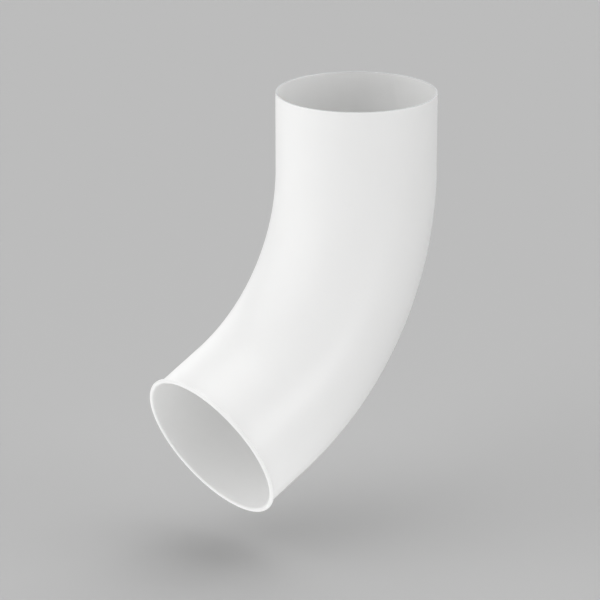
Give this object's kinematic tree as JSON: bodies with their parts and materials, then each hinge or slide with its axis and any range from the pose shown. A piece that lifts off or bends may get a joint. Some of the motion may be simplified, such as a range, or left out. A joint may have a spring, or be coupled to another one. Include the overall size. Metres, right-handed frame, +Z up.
{
  "type": "downpipe shoe",
  "caption": "Round coated steel downpipe shoe: a thin tube with one smooth bend and a beaded mouth, which throws rainwater clear of the wall.",
  "frame": {"origin": "centre of the inlet's cut end, on the inlet's axis", "axes": "+Z up the inlet's axis, the way the pipe above leaves; -Y away from the wall, the side to which the mouth points, downwards; X across, the plane X = 0 being the plane of the bend"},
  "size_m": [0.0904, 0.1667, 0.2181],
  "materials": {
    "white_coating": "white satin polyester coating on galvanised steel"
  },
  "bodies": {
    "root": {"downpipe_shoe": "white_coating"}
  },
  "joints": []
}
